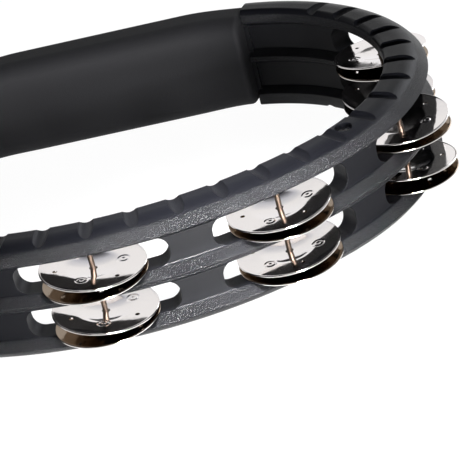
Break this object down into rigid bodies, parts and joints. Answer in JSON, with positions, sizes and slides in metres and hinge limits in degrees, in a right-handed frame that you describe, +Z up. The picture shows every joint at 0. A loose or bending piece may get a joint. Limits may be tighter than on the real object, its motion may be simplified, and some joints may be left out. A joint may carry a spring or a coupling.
{
  "type": "tambourine",
  "caption": "Hand tambourine with a D-shaped moulded frame, soft grip and two rows of windows that hold pairs of loose metal jingles on upright pins.",
  "frame": {"origin": "centre of the part's bounding box in X and Y, on the plane that the lower frame rests on", "axes": "+Z up along the jingle pins, -Y towards the front of the frame, +Y towards the grip, +X to the right seen from the front"},
  "size_m": [0.327, 0.2548, 0.0546],
  "materials": {
    "moulded_frame": "satin black ABS with a fine moulded grain",
    "soft_grip": "matte soft-touch",
    "screw_steel": "zinc plated",
    "bush_steel": "turned",
    "pin_steel": "dark drawn steel",
    "jingle_nickel": "polished nickel plate"
  },
  "bodies": {
    "frame": {"upper_frame": "moulded_frame", "lower_frame": "moulded_frame", "grip_sleeve": "soft_grip", "frame_screws": "screw_steel", "mount_bush_left": "bush_steel", "mount_bush_right": "bush_steel", "jingle_pin_1": "pin_steel", "jingle_pin_2": "pin_steel", "jingle_pin_3": "pin_steel", "jingle_pin_4": "pin_steel", "jingle_pin_5": "pin_steel", "jingle_pin_6": "pin_steel", "jingle_pin_7": "pin_steel"},
    "jingle_top_1_under": {"jingle_top_1_under": "jingle_nickel"},
    "jingle_top_1_over": {"jingle_top_1_over": "jingle_nickel"},
    "jingle_top_2_under": {"jingle_top_2_under": "jingle_nickel"},
    "jingle_top_2_over": {"jingle_top_2_over": "jingle_nickel"},
    "jingle_top_3_under": {"jingle_top_3_under": "jingle_nickel"},
    "jingle_top_3_over": {"jingle_top_3_over": "jingle_nickel"},
    "jingle_top_4_under": {"jingle_top_4_under": "jingle_nickel"},
    "jingle_top_4_over": {"jingle_top_4_over": "jingle_nickel"},
    "jingle_top_5_under": {"jingle_top_5_under": "jingle_nickel"},
    "jingle_top_5_over": {"jingle_top_5_over": "jingle_nickel"},
    "jingle_top_6_under": {"jingle_top_6_under": "jingle_nickel"},
    "jingle_top_6_over": {"jingle_top_6_over": "jingle_nickel"},
    "jingle_top_7_under": {"jingle_top_7_under": "jingle_nickel"},
    "jingle_top_7_over": {"jingle_top_7_over": "jingle_nickel"},
    "jingle_bottom_1_under": {"jingle_bottom_1_under": "jingle_nickel"},
    "jingle_bottom_1_over": {"jingle_bottom_1_over": "jingle_nickel"},
    "jingle_bottom_2_under": {"jingle_bottom_2_under": "jingle_nickel"},
    "jingle_bottom_2_over": {"jingle_bottom_2_over": "jingle_nickel"},
    "jingle_bottom_3_under": {"jingle_bottom_3_under": "jingle_nickel"},
    "jingle_bottom_3_over": {"jingle_bottom_3_over": "jingle_nickel"},
    "jingle_bottom_4_under": {"jingle_bottom_4_under": "jingle_nickel"},
    "jingle_bottom_4_over": {"jingle_bottom_4_over": "jingle_nickel"},
    "jingle_bottom_5_under": {"jingle_bottom_5_under": "jingle_nickel"},
    "jingle_bottom_5_over": {"jingle_bottom_5_over": "jingle_nickel"},
    "jingle_bottom_6_under": {"jingle_bottom_6_under": "jingle_nickel"},
    "jingle_bottom_6_over": {"jingle_bottom_6_over": "jingle_nickel"},
    "jingle_bottom_7_under": {"jingle_bottom_7_under": "jingle_nickel"},
    "jingle_bottom_7_over": {"jingle_bottom_7_over": "jingle_nickel"}
  },
  "joints": [
    {"name": "jingle_top_1_under_slide", "type": "slide", "parent": "frame", "child": "jingle_top_1_under", "axis": [0, 0, 1], "range_m": [0, 0.0015]},
    {"name": "jingle_top_1_over_slide", "type": "slide", "parent": "jingle_top_1_under", "child": "jingle_top_1_over", "axis": [0, 0, 1], "range_m": [0, 0.0014]},
    {"name": "jingle_top_2_under_slide", "type": "slide", "parent": "frame", "child": "jingle_top_2_under", "axis": [0, 0, 1], "range_m": [0, 0.0015]},
    {"name": "jingle_top_2_over_slide", "type": "slide", "parent": "jingle_top_2_under", "child": "jingle_top_2_over", "axis": [0, 0, 1], "range_m": [0, 0.0014]},
    {"name": "jingle_top_3_under_slide", "type": "slide", "parent": "frame", "child": "jingle_top_3_under", "axis": [0, 0, 1], "range_m": [0, 0.0015]},
    {"name": "jingle_top_3_over_slide", "type": "slide", "parent": "jingle_top_3_under", "child": "jingle_top_3_over", "axis": [0, 0, 1], "range_m": [0, 0.0014]},
    {"name": "jingle_top_4_under_slide", "type": "slide", "parent": "frame", "child": "jingle_top_4_under", "axis": [0, 0, 1], "range_m": [0, 0.0015]},
    {"name": "jingle_top_4_over_slide", "type": "slide", "parent": "jingle_top_4_under", "child": "jingle_top_4_over", "axis": [0, 0, 1], "range_m": [0, 0.0014]},
    {"name": "jingle_top_5_under_slide", "type": "slide", "parent": "frame", "child": "jingle_top_5_under", "axis": [0, 0, 1], "range_m": [0, 0.0015]},
    {"name": "jingle_top_5_over_slide", "type": "slide", "parent": "jingle_top_5_under", "child": "jingle_top_5_over", "axis": [0, 0, 1], "range_m": [0, 0.0014]},
    {"name": "jingle_top_6_under_slide", "type": "slide", "parent": "frame", "child": "jingle_top_6_under", "axis": [0, 0, 1], "range_m": [0, 0.0015]},
    {"name": "jingle_top_6_over_slide", "type": "slide", "parent": "jingle_top_6_under", "child": "jingle_top_6_over", "axis": [0, 0, 1], "range_m": [0, 0.0014]},
    {"name": "jingle_top_7_under_slide", "type": "slide", "parent": "frame", "child": "jingle_top_7_under", "axis": [0, 0, 1], "range_m": [0, 0.0015]},
    {"name": "jingle_top_7_over_slide", "type": "slide", "parent": "jingle_top_7_under", "child": "jingle_top_7_over", "axis": [0, 0, 1], "range_m": [0, 0.0014]},
    {"name": "jingle_bottom_1_under_slide", "type": "slide", "parent": "frame", "child": "jingle_bottom_1_under", "axis": [0, 0, 1], "range_m": [0, 0.0015]},
    {"name": "jingle_bottom_1_over_slide", "type": "slide", "parent": "jingle_bottom_1_under", "child": "jingle_bottom_1_over", "axis": [0, 0, 1], "range_m": [0, 0.0014]},
    {"name": "jingle_bottom_2_under_slide", "type": "slide", "parent": "frame", "child": "jingle_bottom_2_under", "axis": [0, 0, 1], "range_m": [0, 0.0015]},
    {"name": "jingle_bottom_2_over_slide", "type": "slide", "parent": "jingle_bottom_2_under", "child": "jingle_bottom_2_over", "axis": [0, 0, 1], "range_m": [0, 0.0014]},
    {"name": "jingle_bottom_3_under_slide", "type": "slide", "parent": "frame", "child": "jingle_bottom_3_under", "axis": [0, 0, 1], "range_m": [0, 0.0015]},
    {"name": "jingle_bottom_3_over_slide", "type": "slide", "parent": "jingle_bottom_3_under", "child": "jingle_bottom_3_over", "axis": [0, 0, 1], "range_m": [0, 0.0014]},
    {"name": "jingle_bottom_4_under_slide", "type": "slide", "parent": "frame", "child": "jingle_bottom_4_under", "axis": [0, 0, 1], "range_m": [0, 0.0015]},
    {"name": "jingle_bottom_4_over_slide", "type": "slide", "parent": "jingle_bottom_4_under", "child": "jingle_bottom_4_over", "axis": [0, 0, 1], "range_m": [0, 0.0014]},
    {"name": "jingle_bottom_5_under_slide", "type": "slide", "parent": "frame", "child": "jingle_bottom_5_under", "axis": [0, 0, 1], "range_m": [0, 0.0015]},
    {"name": "jingle_bottom_5_over_slide", "type": "slide", "parent": "jingle_bottom_5_under", "child": "jingle_bottom_5_over", "axis": [0, 0, 1], "range_m": [0, 0.0014]},
    {"name": "jingle_bottom_6_under_slide", "type": "slide", "parent": "frame", "child": "jingle_bottom_6_under", "axis": [0, 0, 1], "range_m": [0, 0.0015]},
    {"name": "jingle_bottom_6_over_slide", "type": "slide", "parent": "jingle_bottom_6_under", "child": "jingle_bottom_6_over", "axis": [0, 0, 1], "range_m": [0, 0.0014]},
    {"name": "jingle_bottom_7_under_slide", "type": "slide", "parent": "frame", "child": "jingle_bottom_7_under", "axis": [0, 0, 1], "range_m": [0, 0.0015]},
    {"name": "jingle_bottom_7_over_slide", "type": "slide", "parent": "jingle_bottom_7_under", "child": "jingle_bottom_7_over", "axis": [0, 0, 1], "range_m": [0, 0.0014]}
  ]
}
